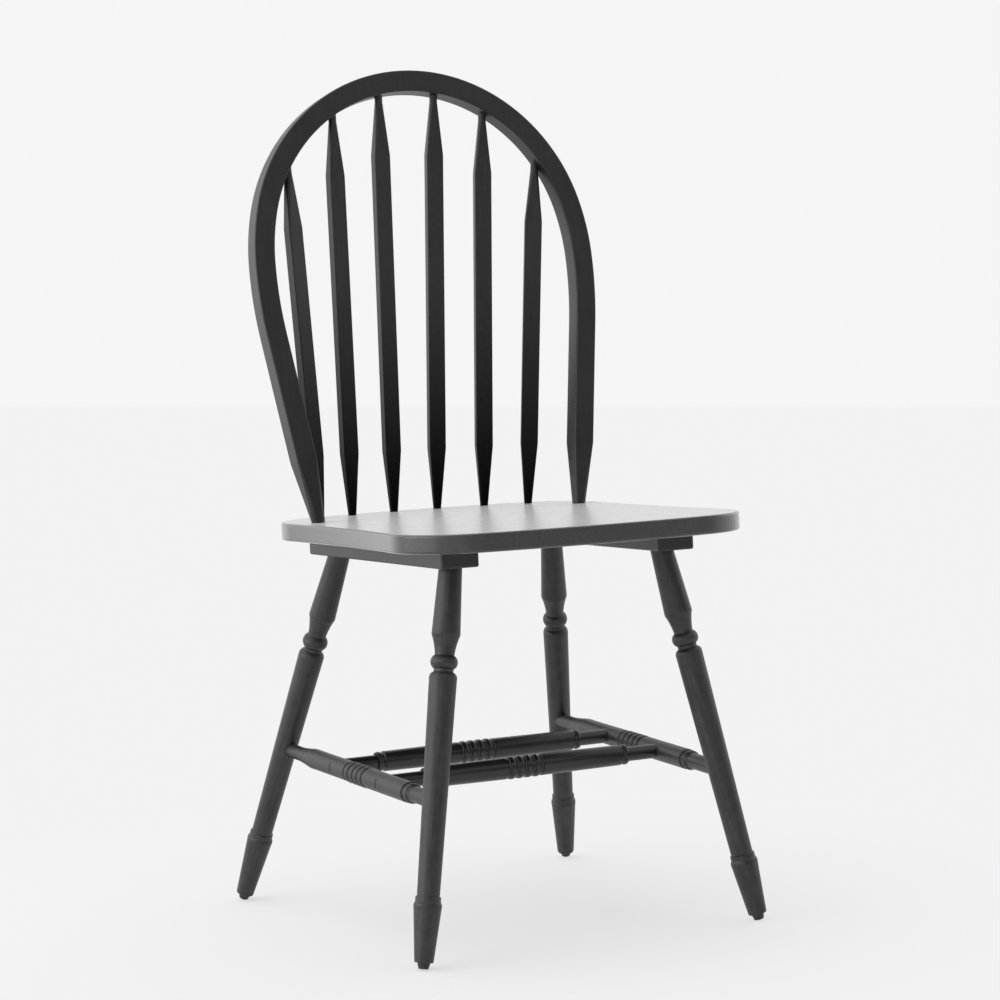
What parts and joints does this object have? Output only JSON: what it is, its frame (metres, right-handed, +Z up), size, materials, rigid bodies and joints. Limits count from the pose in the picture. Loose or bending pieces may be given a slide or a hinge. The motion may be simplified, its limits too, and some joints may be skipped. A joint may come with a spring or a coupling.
{
  "type": "wooden dining chair",
  "caption": "Bow-back wooden side chair with flat arrow spindles, a flat rounded seat on two battens, splayed turned legs and ring-turned stretchers.",
  "frame": {"origin": "on the floor, under the middle of the whole chair's bounding box", "axes": "+X to the chair's side that lies right in a front view, +Y from the front of the seat to the back, +Z up"},
  "size_m": [0.445, 0.5633, 0.9621],
  "materials": {
    "painted_wood": "black satin lacquer over wood with a faint grain",
    "glide_plastic": "dark moulded plastic, slightly worn underneath",
    "screw_steel": "plain zinc-plated steel, dulled"
  },
  "bodies": {
    "root": {"seat": "painted_wood", "batten_left": "painted_wood", "batten_right": "painted_wood", "leg_front_left": "painted_wood", "leg_front_right": "painted_wood", "leg_rear_left": "painted_wood", "leg_rear_right": "painted_wood", "side_stretcher_left": "painted_wood", "side_stretcher_right": "painted_wood", "cross_stretcher_front": "painted_wood", "cross_stretcher_rear": "painted_wood", "bow": "painted_wood", "spindle_left_outer": "painted_wood", "spindle_left_middle": "painted_wood", "spindle_left_inner": "painted_wood", "spindle_right_outer": "painted_wood", "spindle_right_middle": "painted_wood", "spindle_right_inner": "painted_wood", "glide_front_left": "glide_plastic", "glide_front_right": "glide_plastic", "glide_rear_left": "glide_plastic", "glide_rear_right": "glide_plastic", "batten_screws": "screw_steel", "stretcher_staples": "screw_steel"}
  },
  "joints": []
}
